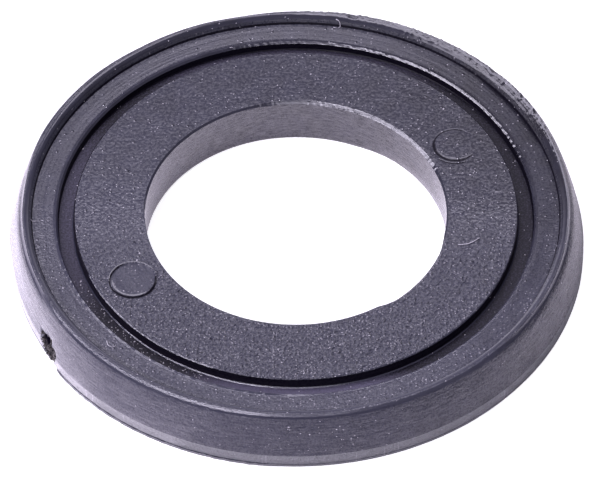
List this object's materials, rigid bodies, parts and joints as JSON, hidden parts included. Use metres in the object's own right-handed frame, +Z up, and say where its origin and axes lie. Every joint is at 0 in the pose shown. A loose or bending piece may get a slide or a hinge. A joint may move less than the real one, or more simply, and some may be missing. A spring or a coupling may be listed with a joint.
{
  "type": "sealing ring",
  "caption": "Flat moulded rubber sealing ring with a round bore, a channel in its face, a raised outer rim and a flared side.",
  "frame": {"origin": "on the bore's axis, at the flat base", "axes": "+Z up along the bore's axis, out of the face with the channel; the torn nick in the foot is about 207 degrees round from +X"},
  "size_m": [0.046, 0.046, 0.0049],
  "materials": {
    "rubber": "matt moulded black, finely grained"
  },
  "bodies": {
    "root": {"ring": "rubber"}
  },
  "joints": []
}
